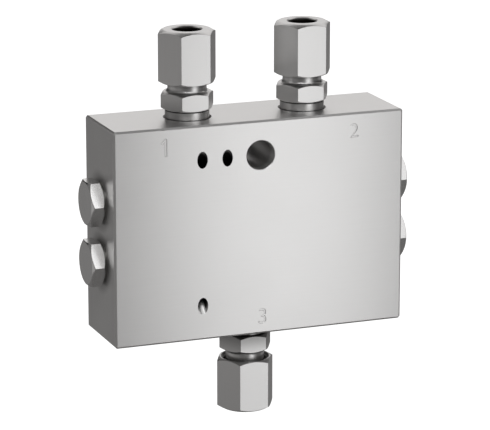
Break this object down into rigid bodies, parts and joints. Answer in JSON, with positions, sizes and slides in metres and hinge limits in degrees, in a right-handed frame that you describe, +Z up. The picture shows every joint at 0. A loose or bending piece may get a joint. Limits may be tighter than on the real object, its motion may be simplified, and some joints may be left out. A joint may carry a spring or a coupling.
{
  "type": "lubrication divider block",
  "caption": "Drilled steel block that divides lubricant from its inlet between its outlets by sliding spools, with cutting ring tube fittings and screw plugs.",
  "frame": {"origin": "on the mounting hole's axis, in the plane of the back face", "axes": "+Z up along the fittings, +Y from front to back, +X to the right"},
  "size_m": [0.0772, 0.02, 0.0904],
  "materials": {
    "block_steel": "fine ground and nickel plated, satin",
    "fitting_steel": "turned from hexagon bar, bright zinc-nickel",
    "plug_steel": "turned from hexagon bar, bright zinc-nickel",
    "ring_steel": "turned and hardened",
    "gasket_metal": "soft flat ring, dull",
    "spool_steel": "ground and lapped",
    "ball_steel": "polished"
  },
  "bodies": {
    "root": {"block": "block_steel", "adapter_outlet_left": "fitting_steel", "cutting_ring_outlet_left": "ring_steel", "adapter_outlet_right": "fitting_steel", "cutting_ring_outlet_right": "ring_steel", "adapter_inlet": "fitting_steel", "cutting_ring_inlet": "ring_steel", "plug_upper_left": "plug_steel", "gasket_upper_left": "gasket_metal", "plug_upper_right": "plug_steel", "gasket_upper_right": "gasket_metal", "plug_lower_left": "plug_steel", "gasket_lower_left": "gasket_metal", "plug_lower_right": "plug_steel", "gasket_lower_right": "gasket_metal", "ball_upper_outer": "ball_steel", "ball_upper_inner": "ball_steel", "ball_lower_outer": "ball_steel"},
    "spool_upper": {"spool_upper": "spool_steel"},
    "spool_lower": {"spool_lower": "spool_steel"},
    "union_nut_outlet_left": {"union_nut_outlet_left": "fitting_steel"},
    "union_nut_outlet_right": {"union_nut_outlet_right": "fitting_steel"},
    "union_nut_inlet": {"union_nut_inlet": "fitting_steel"}
  },
  "joints": [
    {"name": "spool_upper_slide", "type": "slide", "parent": "root", "child": "spool_upper", "axis": [1, 0, 0], "range_m": [0, 0.006]},
    {"name": "spool_lower_slide", "type": "slide", "parent": "root", "child": "spool_lower", "axis": [1, 0, 0], "range_m": [-0.006, 0]},
    {"name": "union_nut_outlet_left_turn", "type": "hinge", "parent": "root", "child": "union_nut_outlet_left", "pos_m": [-0.014, -0.01, 0.008], "axis": [0, 0, 1], "continuous": true},
    {"name": "union_nut_outlet_right_turn", "type": "hinge", "parent": "root", "child": "union_nut_outlet_right", "pos_m": [0.014, -0.01, 0.008], "axis": [0, 0, 1], "continuous": true},
    {"name": "union_nut_inlet_turn", "type": "hinge", "parent": "root", "child": "union_nut_inlet", "pos_m": [0, -0.01, -0.042], "axis": [0, 0, -1], "continuous": true}
  ]
}
